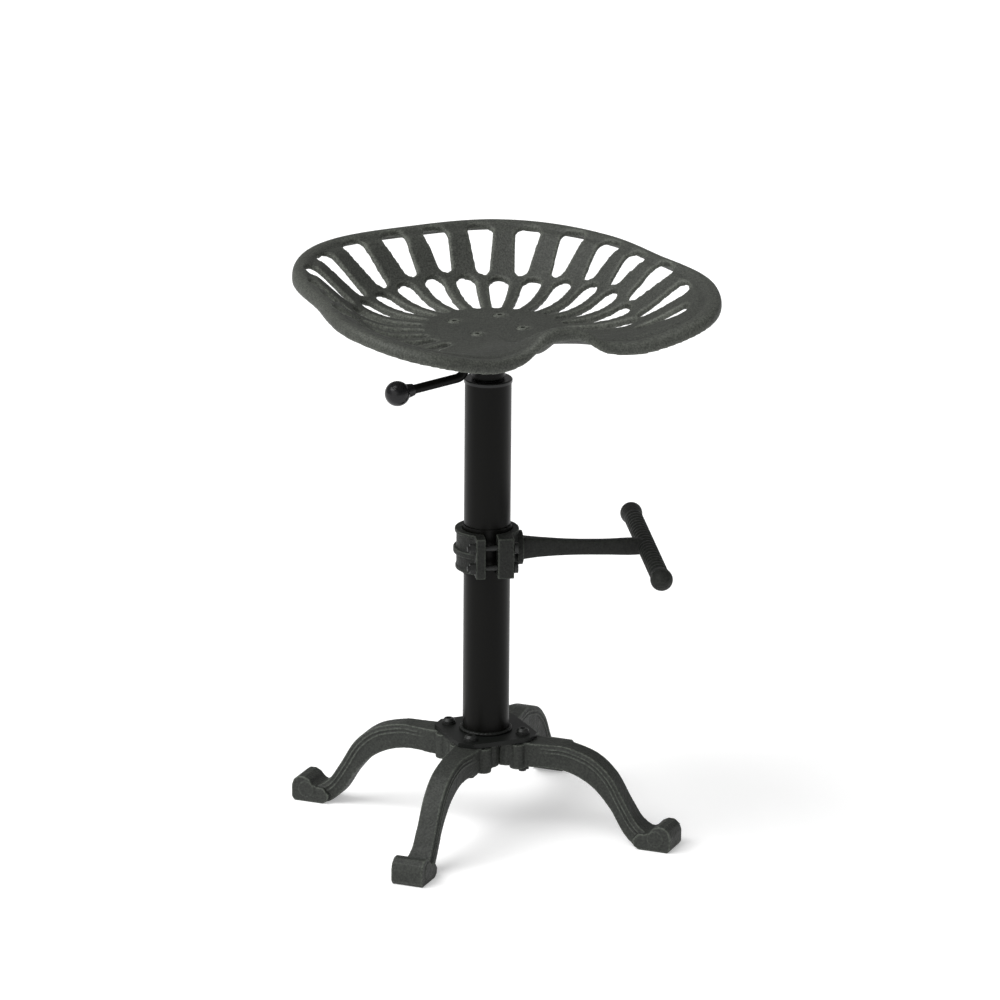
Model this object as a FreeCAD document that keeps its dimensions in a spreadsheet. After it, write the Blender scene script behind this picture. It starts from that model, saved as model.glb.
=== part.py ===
import FreeCAD, Part
import math
import os
import re
import sys
import Sketcher

# Tractor seat stool. Millimetres, +Z up. The origin is on the column's axis at floor
# level, and the front of the seat looks along -Y.

Vector = FreeCAD.Vector
UP = Vector(0, 0, 1)

doc = FreeCAD.newDocument("tractor_seat_stool")
sheet = doc.addObject("Spreadsheet::Sheet", "sizes")

driving_sizes = {
    # cast seat
    "seat_height": 560,          # flat middle of the seat above the floor
    "seat_wall": 8,
    "seat_flat_radius": 60,      # flat middle, about the dish centre
    "dish_climb": 2.0,           # higher keeps the dish flat further out
    "corner_climb": 1.9,
    "front_climb": 1.0,
    "corner_flat": 40,           # where the dish starts to rise, from its centre
    "front_flat": 29,
    "rim_notch_side": 168,       # crest beside the pommel
    "rim_shoulder": 159,         # crest on the pommel's flank
    "rise_shoulder": 37,
    "shoulder_flat": 38,
    "pommel_flat": 54,
    "dish_forward": 12,          # dish centre ahead of the column axis
    "rim_back": 205,             # crest of the rim from the dish centre
    "rim_back_corner": 218,
    "rim_hip": 206,
    "rim_side": 198,
    "rim_thigh": 230,
    "rim_front_corner": 233,
    "rim_front": 195,
    "rim_notch": 155,
    "rise_back": 60,             # crest above the flat middle
    "rise_back_corner": 59,
    "rise_hip": 57,
    "rise_side": 55,
    "rise_thigh": 49,
    "rise_front_corner": 37,
    "rise_front": 20,
    "rise_notch": 21,
    "pommel_rise": 40,
    "roll_radius": 8,            # rolled edge outside the crest
    "roll_drop": 14,
    "inner_slot_start": 76,
    "inner_slot_end": 150,
    "inner_slot_root": 4.5,
    "inner_slot_nose": 10.5,
    "inner_slot_corner": 10,
    "inner_slots": 17,
    "inner_slot_step": 14.5,     # degrees between neighbours
    "outer_slot_start": 153,
    "outer_slot_limit": 206,     # furthest outer end of the outer row
    "outer_slot_margin": 6,      # from the rim's crest to the outer row
    "outer_slot_root": 7,
    "outer_slot_nose": 13.5,
    "outer_slot_corner": 9,
    "outer_slots": 18,
    "outer_slot_step": 15,
    "seat_screw_place": 27,      # from the axis, along X and along Y
    "seat_screw_head": 15,
    "seat_screw_shank": 8,
    "seat_screw_sink": 3.5,
    # steel tray, socket and lever under the seat
    "tray_length": 84,
    "tray_width": 78,
    "tray_flange": 16,           # from the middle to the outside of each flange
    "tray_wall": 3,
    "tray_depth": 30,
    "socket_outer": 36,
    "socket_length": 19,
    "lever_rod": 10,
    "lever_pivot_reach": 28,
    "lever_pivot_drop": 28,
    "lever_pin": 6,
    "lever_knob_reach": 107.5,
    "lever_knob_height": 497,
    "lever_knee_height": 506,
    "lever_knob_size": 27,
    "lever_knee_bend": 11,
    "lever_pivot_bend": 7,
    # gas spring and column
    "column_outer": 50,
    "column_wall": 2.5,
    "column_top": 501,
    "column_cap": 4,
    "guide_length": 78,
    "cylinder_outer": 28,
    "cylinder_wall": 2.5,
    "cylinder_foot": 252,
    "cylinder_head": 521,
    "rod_size": 10,
    "rod_journal": 8,
    "rod_top": 484,
    "piston_length": 14,
    "valve_pin_size": 7,
    "bottom_disc": 5,
    "bearing_height": 6,
    # footrest
    "footrest_height": 312,
    "footrest_turn": -20,        # degrees, from +X
    "sleeve_wall": 1.5,
    "sleeve_over": 4,
    "clamp_height": 46,
    "clamp_outer": 68,
    "clamp_gap": 19,
    "clamp_ear_reach": 48,
    "clamp_bolt_reach": 39.5,
    "clamp_bolt_lift": 11,
    "clamp_bolt": 6,
    "clamp_washer_wall": 1.2,
    "clamp_nut": 10,
    "clamp_nut_high": 5,
    "clamp_head_high": 4,
    "clamp_rib": 7,
    "ear_wall": 15,
    "cap_ear_wall": 7.5,
    "arm_root_depth": 27,
    "arm_waist_depth": 17,
    "arm_width": 13,
    "bar_reach": 172,
    "bar_size": 18,
    "bar_ball": 26,
    "bar_length": 236,
    "bar_drop": 4,
    "bar_ribs": 22,
    "bar_rib_wide": 5,
    "bar_rib_high": 1.2,
    # base
    "plate_top": 107,
    "plate_wall": 5,
    "plate_side": 92,
    "plate_corner": 56,          # from the axis to each cut corner
    "base_turn": -3.9,           # degrees, legs off the seat's diagonals
    "base_bolt_place": 43,
    "base_bolt": 8,
    "base_bolt_head": 13.6,
    "base_bolt_head_high": 4.4,
    "base_washer": 15.2,
    "base_washer_wall": 1.6,
    "large_nut": 13,             # across flats, on the base and seat bolts
    "large_nut_high": 6.5,
    "key_flats": 5,              # hexagon sockets of the same bolts
    "leg_width": 22,
    "leg_hub_width": 30,
    "leg_root": 26,              # inner end of the limb, from the axis
    "leg_shoulder": 98,          # where the top starts to fall
    "leg_knee": 149,
    "leg_knee_drop": 22,
    "leg_ankle": 187,
    "leg_ankle_height": 20,
    "leg_armpit": 96,            # where the underside starts to fall
    "leg_thigh": 127,
    "leg_calf": 150,
    "shoulder_round": 70,
    "knee_round": 40,
    "armpit_round": 30,
    "thigh_round": 34,
    "scroll_length": 32,         # curled end of the foot
    "scroll_round": 14,
    "foot_width": 37.6,
    "foot_heel": 181,
    "foot_toe": 217,
    "foot_reach": 221,
    "foot_height": 29,
    "leg_depth": 28,
    "wing_height": 24,
    "wing_reach": 42,
    "running_gap": 0.05,
    "loose_gap": 0.3,
}

for row, (name, value) in enumerate(driving_sizes.items(), start=1):
    sheet.set(f"A{row}", name)
    sheet.set(f"B{row}", str(value))
    sheet.setAlias(f"B{row}", name)
doc.recompute()

size_words = re.compile(r"\b(" + "|".join(driving_sizes) + r")\b")


def linked(text):
    return size_words.sub(r"sizes.\1", str(text))


def size(text):
    return float(sheet.evalExpression(linked(text)))


def bind(thing, path, text):
    if size_words.search(str(text)):
        thing.setExpression(path, linked(text))


def place(thing, lift="0", turn="0"):
    thing.Placement = FreeCAD.Placement(Vector(0, 0, size(lift)), FreeCAD.Rotation(UP, size(turn)))
    bind(thing, ".Placement.Base.z", lift)
    if size(turn) != 0:
        bind(thing, ".Placement.Rotation.Angle", turn)


pieces = []


def new_body(name, lift="0", turn="0"):
    body = doc.addObject("PartDesign::Body", name)
    body.Label = name
    place(body, lift, turn)
    pieces.append(body)
    return body


def origin_part(body, role):
    return [item for item in body.Origin.OriginFeatures if item.Role == role][0]


def new_sketch(body, role, away="0"):
    sketch = body.newObject("Sketcher::SketchObject", body.Name + "_sketch")
    sketch.AttachmentSupport = [(origin_part(body, role), "")]
    sketch.MapMode = "FlatFace"
    sketch.AttachmentOffset = FreeCAD.Placement(Vector(0, 0, size(away)), FreeCAD.Rotation())
    bind(sketch, ".AttachmentOffset.Base.z", away)
    return sketch


def fix_point(sketch, part, end, across, along):
    for kind, text in (("DistanceX", across), ("DistanceY", along)):
        index = sketch.addConstraint(Sketcher.Constraint(kind, -1, 1, part, end, size(text)))
        bind(sketch, f"Constraints[{index}]", text)


def add_outline(sketch, corners):
    first = sketch.GeometryCount
    spots = [Vector(size(across), size(along), 0) for across, along in corners]
    count = len(corners)
    for index in range(count):
        sketch.addGeometry(Part.LineSegment(spots[index], spots[(index + 1) % count]), False)
    for index in range(count):
        after = first + (index + 1) % count
        sketch.addConstraint(Sketcher.Constraint("Coincident", first + index, 2, after, 1))
        fix_point(sketch, first + index, 1, *corners[index])


def add_circle(sketch, across, along, radius):
    middle = Vector(size(across), size(along), 0)
    index = sketch.addGeometry(Part.Circle(middle, UP, size(radius)), False)
    fix_point(sketch, index, 3, across, along)
    limit = sketch.addConstraint(Sketcher.Constraint("Radius", index, size(radius)))
    bind(sketch, f"Constraints[{limit}]", radius)


def add_axis(sketch, across):
    # construction line for pieces turned about an axis beside the origin
    reach = size(across)
    edge = Part.LineSegment(Vector(reach, 0, 0), Vector(reach, 10, 0))
    index = sketch.addGeometry(edge, True)
    fix_point(sketch, index, 1, across, "0")
    fix_point(sketch, index, 2, across, "10")


def extrude(body, kind, sketch, length, both_ways=False, reverse=False):
    feature = body.newObject("PartDesign::" + kind, body.Name + "_" + kind.lower())
    feature.Profile = sketch
    feature.Length = size(length)
    bind(feature, "Length", length)
    if both_ways:
        feature.SideType = "Symmetric"
    feature.Reversed = reverse
    doc.recompute()
    return feature


def spin(body, kind, sketch, axis="V_Axis"):
    feature = body.newObject("PartDesign::" + kind, body.Name + "_" + kind.lower())
    feature.Profile = sketch
    feature.ReferenceAxis = (sketch, [axis])
    feature.Angle = 360
    doc.recompute()
    return feature


def turned(name, corners, lift="0"):
    # a piece turned about the Z axis, from (radius, height) corners
    body = new_body(name, lift)
    sketch = new_sketch(body, "XZ_Plane")
    add_outline(sketch, corners)
    spin(body, "Revolution", sketch)
    return body


def ring(name, inner, outer, low, high, lift="0"):
    corners = [(inner, low), (outer, low), (outer, high), (inner, high)]
    return turned(name, corners, lift)


def four_around(body, features):
    pattern = body.newObject("PartDesign::PolarPattern", body.Name + "_four")
    pattern.Originals = features
    pattern.Axis = (origin_part(body, "Z_Axis"), [""])
    pattern.Angle = 360
    pattern.Occurrences = 4
    body.Tip = pattern
    doc.recompute()
    return pattern


def hexagon(across, along, flats):
    # six corners about a middle, two of them along the first direction
    half = f"({flats}) / 2"
    reach = f"({flats}) / sqrt(3)"
    return [
        (f"{across} + {reach}", along),
        (f"{across} + {reach} / 2", f"{along} + {half}"),
        (f"{across} - {reach} / 2", f"{along} + {half}"),
        (f"{across} - {reach}", along),
        (f"{across} - {reach} / 2", f"{along} - {half}"),
        (f"{across} + {reach} / 2", f"{along} - {half}"),
    ]


def edges_at(feature, spot, flat):
    # edges that run square to the sketch plane through one corner of its outline
    found = []
    for index, edge in enumerate(feature.Shape.Edges, start=1):
        ends = [flat(vertex.Point) for vertex in edge.Vertexes]
        if len(ends) == 2 and all(end.distanceToPoint(spot) < 0.01 for end in ends):
            found.append(f"Edge{index}")
    return found


def round_corners(body, feature, rounds, flat):
    # rounds holds (first coordinate, second coordinate, radius) for each corner
    for across, along, radius in rounds:
        spot = Vector(size(across), size(along), 0)
        names = edges_at(feature, spot, flat)
        if not names:
            sys.exit(f"{body.Label}: no edge at {spot}")
        fillet = body.newObject("PartDesign::Fillet", body.Name + "_round")
        fillet.Base = (feature, names)
        fillet.Radius = size(radius)
        bind(fillet, "Radius", radius)
        doc.recompute()
        feature = fillet
    return feature


def side_view(point):
    return Vector(point.x, point.z, 0)


def plan_view(point):
    return Vector(point.x, point.y, 0)


# Legs: four castings that meet under the steel plate
hub_top = "(plate_top - plate_wall)"


def make_leg(name, turn):
    body = new_body(name, "0", turn)
    limb = new_sketch(body, "XZ_Plane")
    corners = [
        ("leg_root", hub_top),
        ("leg_shoulder", hub_top),
        ("leg_knee", f"{hub_top} - leg_knee_drop"),
        ("leg_ankle", "leg_ankle_height"),
        ("foot_toe - 10", "leg_ankle_height - 2"),
        ("foot_toe - 10", "0"),
        ("foot_heel", "0"),
        ("foot_heel - 9", "4"),
        ("leg_calf", f"{hub_top} - leg_depth - 42"),
        ("leg_thigh", f"{hub_top} - leg_depth - 15"),
        ("leg_armpit", f"{hub_top} - leg_depth"),
        ("leg_root", f"{hub_top} - leg_depth"),
    ]
    add_outline(limb, corners)
    pad = extrude(body, "Pad", limb, "leg_width", both_ways=True)
    rounds = [
        (*corners[1], "shoulder_round"),
        (*corners[2], "knee_round"),
        (*corners[7], "8"),
        (*corners[9], "thigh_round"),
        (*corners[10], "armpit_round"),
    ]
    round_corners(body, pad, rounds, side_view)

    foot = new_sketch(body, "XZ_Plane")
    foot_corners = [
        ("foot_heel", "0"),
        ("foot_toe", "0"),
        ("foot_reach", "6"),
        ("foot_reach", "foot_height"),
        ("foot_reach - scroll_length", "foot_height"),
        ("foot_reach - scroll_length - 6", "foot_height - 12"),
        ("foot_heel - 4", "9"),
    ]
    add_outline(foot, foot_corners)
    foot_pad = extrude(body, "Pad", foot, "foot_width", both_ways=True)
    foot_rounds = [
        (*foot_corners[3], "scroll_round"),
        (*foot_corners[4], "9"),
    ]
    round_corners(body, foot_pad, foot_rounds, side_view)

    # wings that close the hub between neighbouring legs
    wing = new_sketch(body, "XY_Plane", f"{hub_top} - leg_depth")
    edge = "wing_reach / sqrt(2)"
    inner = f"{edge} - 9"
    add_outline(wing, [
        (f"{inner} + 0.15", inner),
        (f"{edge} + 0.15", edge),
        ("56", "leg_hub_width / 2 + 3"),
        ("84", "leg_width / 2"),
        ("84", "-leg_width / 2"),
        ("56", "-leg_hub_width / 2 - 3"),
        (f"{edge} + 0.15", f"-{edge}"),
        (f"{inner} + 0.15", f"-({inner})"),
        ("34", "-leg_hub_width / 2 + 3"),
        ("34", "leg_hub_width / 2 - 3"),
    ])
    extrude(body, "Pad", wing, "wing_height")

    # hub block under the plate, mitred against its neighbours
    block = new_sketch(body, "XY_Plane", f"{hub_top} - leg_depth")
    add_outline(block, [
        ("12.3", "12"),
        ("leg_hub_width / 2 + 0.3", "leg_hub_width / 2"),
        ("60", "leg_hub_width / 2"),
        ("66", "leg_width / 2"),
        ("66", "-leg_width / 2"),
        ("60", "-leg_hub_width / 2"),
        ("leg_hub_width / 2 + 0.3", "-leg_hub_width / 2"),
        ("12.3", "-12"),
    ])
    extrude(body, "Pad", block, "leg_depth")

    bolt_hole = new_sketch(body, "XY_Plane", hub_top)
    add_circle(bolt_hole, "base_bolt_place", "0", "base_bolt / 2 + loose_gap")
    extrude(body, "Pocket", bolt_hole, "leg_depth + 1")
    return body


leg_names = ["leg_rear_right", "leg_rear_left", "leg_front_left", "leg_front_right"]
for index, name in enumerate(leg_names):
    make_leg(name, f"base_turn + {45 + 90 * index}")

# Steel plate on the legs, with the column standing on it
plate = new_body("base_plate", hub_top, "base_turn")
outline = new_sketch(plate, "XY_Plane")
half = "plate_side / 2"
cut = f"(plate_corner * sqrt(2) - {half})"
add_outline(outline, [
    (half, cut), (cut, half), (f"-{cut}", half), (f"-{half}", cut),
    (f"-{half}", f"-{cut}"), (f"-{cut}", f"-{half}"), (cut, f"-{half}"), (half, f"-{cut}"),
])
extrude(plate, "Pad", outline, "plate_wall")
holes = new_sketch(plate, "XY_Plane", "plate_wall")
spot = "base_bolt_place / sqrt(2)"
for across in (spot, f"-{spot}"):
    for along in (spot, f"-{spot}"):
        add_circle(holes, across, along, "base_bolt / 2 + loose_gap")
add_circle(holes, "0", "0", "column_outer / 2 - column_wall - 4")
extrude(plate, "Pocket", holes, "plate_wall")

column_bore = "(column_outer / 2 - column_wall)"
ring("column_tube", column_bore, "column_outer / 2", "plate_top", "column_top - column_cap")
turned("column_weld", [
    ("column_outer / 2", "plate_top"),
    ("column_outer / 2 + 5", "plate_top"),
    ("column_outer / 2 + 4", "plate_top + 3"),
    ("column_outer / 2", "plate_top + 5"),
])
disc_bore = "rod_journal / 2 + running_gap"
ring("column_bottom_disc", disc_bore, column_bore, "plate_top", "plate_top + bottom_disc")
guide_bore = "(cylinder_outer / 2 + running_gap)"
turned("guide_bush", [
    (guide_bore, "column_top - guide_length"),
    (column_bore, "column_top - guide_length"),
    (column_bore, "column_top - column_cap"),
    ("column_outer / 2 + 1", "column_top - column_cap"),
    ("column_outer / 2 + 1", "column_top - 1"),
    ("column_outer / 2", "column_top"),
    (guide_bore, "column_top"),
])

# Bolts that hold the plate to the legs
head_low = "(plate_top + base_washer_wall)"
head_high = f"({head_low} + base_bolt_head_high)"
bolts = new_body("base_bolts", "0", "base_turn + 45")
bolt_profile = new_sketch(bolts, "XZ_Plane")
add_outline(bolt_profile, [
    ("base_bolt_place", f"{hub_top} - leg_depth - 9"),
    ("base_bolt_place + base_bolt / 2", f"{hub_top} - leg_depth - 9"),
    ("base_bolt_place + base_bolt / 2", head_low),
    ("base_bolt_place + base_bolt_head / 2", head_low),
    ("base_bolt_place + base_bolt_head / 2", f"{head_low} + 1.8"),
    ("base_bolt_place + base_bolt_head / 2 - 2", head_high),
    ("base_bolt_place", head_high),
])
add_axis(bolt_profile, "base_bolt_place")
bolt_solid = spin(bolts, "Revolution", bolt_profile, "Axis0")
keys = new_sketch(bolts, "XY_Plane", head_high)
add_outline(keys, hexagon("base_bolt_place", "0", "key_flats"))
key_pocket = extrude(bolts, "Pocket", keys, "2.4")
four_around(bolts, [bolt_solid, key_pocket])


def washers(name, place_text, bore, outer, wall, lift, turn):
    body = new_body(name, lift, turn)
    sketch = new_sketch(body, "XY_Plane")
    add_circle(sketch, place_text, "0", bore)
    add_circle(sketch, place_text, "0", outer)
    pad = extrude(body, "Pad", sketch, wall)
    four_around(body, [pad])
    return body


def nuts(name, place_text, bore, flats, height, lift, turn):
    body = new_body(name, lift, turn)
    sketch = new_sketch(body, "XY_Plane")
    add_outline(sketch, hexagon(place_text, "0", flats))
    add_circle(sketch, place_text, "0", bore)
    pad = extrude(body, "Pad", sketch, height)
    four_around(body, [pad])
    return body


base_angle = "base_turn + 45"
washers("base_washers", "base_bolt_place", "base_bolt / 2 + 0.2", "base_washer / 2",
        "base_washer_wall", "plate_top", base_angle)
nuts("base_nuts", "base_bolt_place", "base_bolt / 2", "large_nut", "large_nut_high",
     f"{hub_top} - leg_depth - large_nut_high", base_angle)

# Gas spring: the rod stands on a thrust bearing in the column and can turn there
bearing_low = "(plate_top + bottom_disc)"
bearing_high = f"({bearing_low} + bearing_height)"
ring("thrust_bearing", disc_bore, "13", bearing_low, bearing_high)
turned("gas_rod", [
    ("0", "plate_top - 4"),
    ("rod_journal / 2", "plate_top - 4"),
    ("rod_journal / 2", bearing_high),
    ("rod_size / 2", bearing_high),
    ("rod_size / 2", "rod_top - piston_length"),
    ("0", "rod_top - piston_length"),
])
cylinder_bore = "(cylinder_outer / 2 - cylinder_wall)"
ring("gas_piston", "0", f"{cylinder_bore} - running_gap", "rod_top - piston_length", "rod_top")
ring("rod_clip", "rod_journal / 2", "rod_journal / 2 + 4", "plate_top - 2", "plate_top - 0.4")

# Cylinder that rises with the seat, with its valve pin in the top
pin_bore = "valve_pin_size / 2 + running_gap"
turned("gas_cylinder", [
    (cylinder_bore, "cylinder_foot"),
    ("cylinder_outer / 2", "cylinder_foot"),
    ("cylinder_outer / 2", "cylinder_head"),
    (pin_bore, "cylinder_head"),
    (pin_bore, "cylinder_head - 12"),
    (cylinder_bore, "cylinder_head - 12"),
])
ring("cylinder_seal", "rod_size / 2 + running_gap", cylinder_bore, "cylinder_foot",
     "cylinder_foot + 14")

# Tray under the seat: top web, two flanges and a lower plate that holds the socket
tray_top = "(seat_height - seat_wall)"
tray = new_body("lever_tray", tray_top)
web = new_sketch(tray, "XY_Plane")
half_length = "tray_length / 2"
half_width = "tray_width / 2"
add_outline(web, [
    (half_length, half_width), (f"-{half_length}", half_width),
    (f"-{half_length}", f"-{half_width}"), (half_length, f"-{half_width}"),
])
for across in ("seat_screw_place", "-seat_screw_place"):
    for along in ("seat_screw_place", "-seat_screw_place"):
        add_circle(web, across, along, "seat_screw_shank / 2 + loose_gap")
extrude(tray, "Pad", web, "tray_wall", reverse=True)
sides = new_sketch(tray, "YZ_Plane")
for sign in ("", "-"):
    inner = f"{sign}(tray_flange - tray_wall)"
    outer = f"{sign}tray_flange"
    add_outline(sides, [
        (inner, "-tray_wall"), (outer, "-tray_wall"),
        (outer, "-tray_depth"), (inner, "-tray_depth"),
    ])
extrude(tray, "Pad", sides, "tray_length - 8", both_ways=True)
floor_sketch = new_sketch(tray, "XY_Plane", "-tray_depth")
add_outline(floor_sketch, [
    ("socket_outer / 2 + 3", "tray_flange"), ("-18.5", "tray_flange"),
    ("-18.5", f"-tray_flange"), ("socket_outer / 2 + 3", f"-tray_flange"),
])
add_circle(floor_sketch, "0", "0", "cylinder_outer / 2")
extrude(tray, "Pad", floor_sketch, "tray_wall")
pin_holes = new_sketch(tray, "XZ_Plane")
add_circle(pin_holes, "-lever_pivot_reach", "seat_height - lever_pivot_drop - " + tray_top,
           "lever_pin / 2")
extrude(tray, "Pocket", pin_holes, "tray_width", both_ways=True)

socket_top = f"({tray_top} - tray_depth)"
ring("hub_socket", "cylinder_outer / 2", "socket_outer / 2", f"{socket_top} - socket_length",
     socket_top)

pivot_height = "(seat_height - lever_pivot_drop)"
pivot = new_body("lever_pin")
pin_sketch = new_sketch(pivot, "XZ_Plane")
add_circle(pin_sketch, "-lever_pivot_reach", pivot_height, "lever_pin / 2")
extrude(pivot, "Pad", pin_sketch, f"2 * tray_flange + 4", both_ways=True)

# Lever: bent rod with a round knob, and a valve pin that it presses
knee = Vector(-size("lever_pivot_reach"), 0, size("lever_knee_height"))
knob_middle = Vector(-size("lever_knob_reach"), 0, size("lever_knob_height"))


def bent_rod(stops, bends, radius):
    # round bar through stops, with an arc at each inner stop
    edges = []
    start = stops[0]
    for index, bend in enumerate(bends, start=1):
        corner = stops[index]
        back = (stops[index - 1] - corner).normalize()
        onward = (stops[index + 1] - corner).normalize()
        half_turn = (math.pi - back.getAngle(onward)) / 2
        reach = bend * math.tan(half_turn)
        enter = corner + back * reach
        leave = corner + onward * reach
        middle = (back + onward).normalize()
        crown = corner + middle * (bend / math.cos(half_turn) - bend)
        edges.append(Part.LineSegment(start, enter).toShape())
        edges.append(Part.Arc(enter, crown, leave).toShape())
        start = leave
    edges.append(Part.LineSegment(start, stops[-1]).toShape())
    path = Part.Wire(edges)
    section = Part.Wire(Part.Circle(stops[0], stops[1] - stops[0], radius).toShape())
    return path.makePipeShell([section], True, True)


rod_radius = size("lever_rod") / 2
pivot_spot = Vector(knee.x, 0, size(pivot_height))
finger_tip = Vector(4, 0, pivot_spot.z)
rod_bends = [size("lever_knee_bend"), size("lever_pivot_bend")]
lever_shape = bent_rod([knob_middle, knee, pivot_spot, finger_tip], rod_bends, rod_radius)
pin_room = Part.makeCylinder(
    size("lever_pin / 2 + running_gap"), 60, Vector(knee.x, -30, pivot_spot.z), Vector(0, 1, 0))
lever_shape = lever_shape.cut(pin_room)


def add_shape(name, shape, turn="0"):
    feature = doc.addObject("Part::Feature", name)
    feature.Label = name
    feature.Shape = shape
    place(feature, "0", turn)
    pieces.append(feature)
    return feature


add_shape("lever_rod", lever_shape)
knob_radius = size("lever_knob_size") / 2
out_along = (knob_middle - knee).normalize()
knob = Part.makeSphere(knob_radius, knob_middle)
collar = Part.makeCone(6.5, 8, 8, knob_middle - out_along * (knob_radius + 5), out_along)
knob = knob.fuse(collar).cut(lever_shape)
add_shape("lever_knob", knob.removeSplitter())

valve_top = f"({pivot_height} - lever_rod / 2 - 0.1)"
ring("valve_pin", "0", "valve_pin_size / 2", "cylinder_head - 10", valve_top)

# Seat: one cast dish with a rolled rim, a pommel in the front notch and two rows of slots
rim_stations = [
    # degrees from the back, crest distance from the dish centre, crest rise, climb, flat radius
    (0, "rim_back", "rise_back", "dish_climb", "seat_flat_radius"),
    (15.5, "(rim_back + rim_back_corner) / 2", "(rise_back + rise_back_corner) / 2",
     "dish_climb", "seat_flat_radius"),
    (31, "rim_back_corner", "rise_back_corner", "dish_climb", "seat_flat_radius"),
    (61, "rim_hip", "rise_hip", "dish_climb", "seat_flat_radius"),
    (88, "rim_side", "rise_side", "dish_climb", "seat_flat_radius"),
    (116, "rim_thigh", "rise_thigh", "dish_climb", "seat_flat_radius"),
    (136, "rim_front_corner", "rise_front_corner", "corner_climb", "corner_flat"),
    (152, "rim_front", "rise_front", "front_climb", "front_flat"),
    (163, "rim_notch_side", "rise_notch", "front_climb", "front_flat"),
    (172, "rim_shoulder", "rise_shoulder", "(front_climb + dish_climb) / 2", "shoulder_flat"),
    (180, "rim_notch", "pommel_rise", "dish_climb", "pommel_flat"),
]
dish_middle = Vector(0, -size("dish_forward"), size("seat_height"))
stations = [(angle, *[size(text) for text in texts]) for angle, *texts in rim_stations]
stations += [(360 - angle, *sizes) for angle, *sizes in stations[-2:0:-1]]
ring_steps = [station[0] / 360 for station in stations] + [1.0]
wall = size("seat_wall")
roll = size("roll_radius")
drop = size("roll_drop")


def from_back(angle, distance, height):
    turn = math.radians(angle)
    return dish_middle + Vector(-distance * math.sin(turn), distance * math.cos(turn), height)


def ring_through(spots):
    curve = Part.BSplineCurve()
    curve.interpolate(Points=spots, PeriodicFlag=True, Parameters=ring_steps)
    return Part.Wire(curve.toShape())


def dish_ring(share, under):
    # the dish leaves its flat middle slowly, climbs, and levels out at the crest
    spots = []
    for angle, reach, rise, climb, flat in stations:
        height = rise * (1 - math.cos(math.pi * share ** climb)) / 2
        spots.append(from_back(angle, flat + (reach - flat) * share, height - under))
    return ring_through(spots)


def rim_ring(outward, downward):
    return ring_through([
        from_back(angle, reach + outward, rise - downward)
        for angle, reach, rise, climb, flat in stations])


shares = [index / 7 for index in range(8)]
dish_top = [dish_ring(share, 0) for share in shares]
dish_under = [dish_ring(share, wall) for share in shares]
roll_top = [dish_top[-1], rim_ring(roll * 0.5, roll * 0.13), rim_ring(roll * 0.87, roll * 0.5),
            rim_ring(roll, roll), rim_ring(roll, drop)]
roll_under = [dish_under[-1], rim_ring(roll - wall * 0.75, drop)]
faces = []
for rings in (dish_top, roll_top, dish_under, roll_under):
    faces += Part.makeLoft(rings, False, True).Faces
faces.append(Part.Face(dish_top[0]))
faces.append(Part.Face(dish_under[0]))
faces += Part.makeRuledSurface(roll_top[-1], roll_under[-1]).Faces
shell = Part.makeShell(faces)
shell.sewShape()
dish = Part.makeSolid(shell)
if dish.Volume < 0:
    dish.reverse()


def slot(angle, start, end, root, nose, corner):
    # slot that widens outwards, round at its inner end, with two corners at the outer one
    low = -size("seat_wall") - 4
    inner_spot = from_back(angle, start + root, low)
    along = (from_back(angle, end, low) - inner_spot).normalize()
    side = UP.cross(along)
    nose_spot = from_back(angle, end - corner, low)
    spread = nose - corner
    lean = math.atan((nose - root) / (nose_spot - inner_spot).Length)
    out_left = side * math.cos(lean) - along * math.sin(lean)
    out_right = side * -math.cos(lean) - along * math.sin(lean)
    left_eye = nose_spot + side * spread
    right_eye = nose_spot - side * spread
    half_left = (out_left + along).normalize()
    half_right = (out_right + along).normalize()
    edges = [
        Part.LineSegment(inner_spot + out_left * root, left_eye + out_left * corner),
        Part.Arc(left_eye + out_left * corner, left_eye + half_left * corner,
                 left_eye + along * corner),
        Part.LineSegment(left_eye + along * corner, right_eye + along * corner),
        Part.Arc(right_eye + along * corner, right_eye + half_right * corner,
                 right_eye + out_right * corner),
        Part.LineSegment(right_eye + out_right * corner, inner_spot + out_right * root),
        Part.Arc(inner_spot + out_right * root, inner_spot - along * root,
                 inner_spot + out_left * root),
    ]
    face = Part.Face(Part.Wire([edge.toShape() for edge in edges]))
    return face.extrude(UP * (size("rise_back") + 30))


def crest_reach(angle):
    turn = angle % 360
    for before, after in zip(stations, stations[1:] + [(360, *stations[0][1:])]):
        if before[0] <= turn <= after[0]:
            share = (turn - before[0]) / (after[0] - before[0])
            return before[1] + (after[1] - before[1]) * share


cutters = []
for row in ("inner", "outer"):
    count = int(size(f"{row}_slots"))
    start, root, nose, corner = [
        size(f"{row}_slot_{word}") for word in ("start", "root", "nose", "corner")]
    for index in range(count):
        angle = (index - (count - 1) / 2) * size(f"{row}_slot_step")
        if row == "inner":
            end = size("inner_slot_end")
        else:
            end = min(crest_reach(angle) - size("outer_slot_margin"), size("outer_slot_limit"))
        cutters.append(slot(angle, start, end, root, nose, corner))
for across in (-1, 1):
    for along in (-1, 1):
        spot = Vector(across * size("seat_screw_place"), along * size("seat_screw_place"), 0)
        low = spot + UP * (size("seat_height") - wall - 5)
        seat_plane = spot + UP * (size("seat_height") - size("seat_screw_sink"))
        cutters.append(Part.makeCylinder(size("seat_screw_shank / 2 + loose_gap"), 30, low))
        cutters.append(Part.makeCylinder(size("seat_screw_head / 2 + loose_gap"), 30, seat_plane))
seat = dish.cut(cutters)
add_shape("seat_pan", seat)

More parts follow.
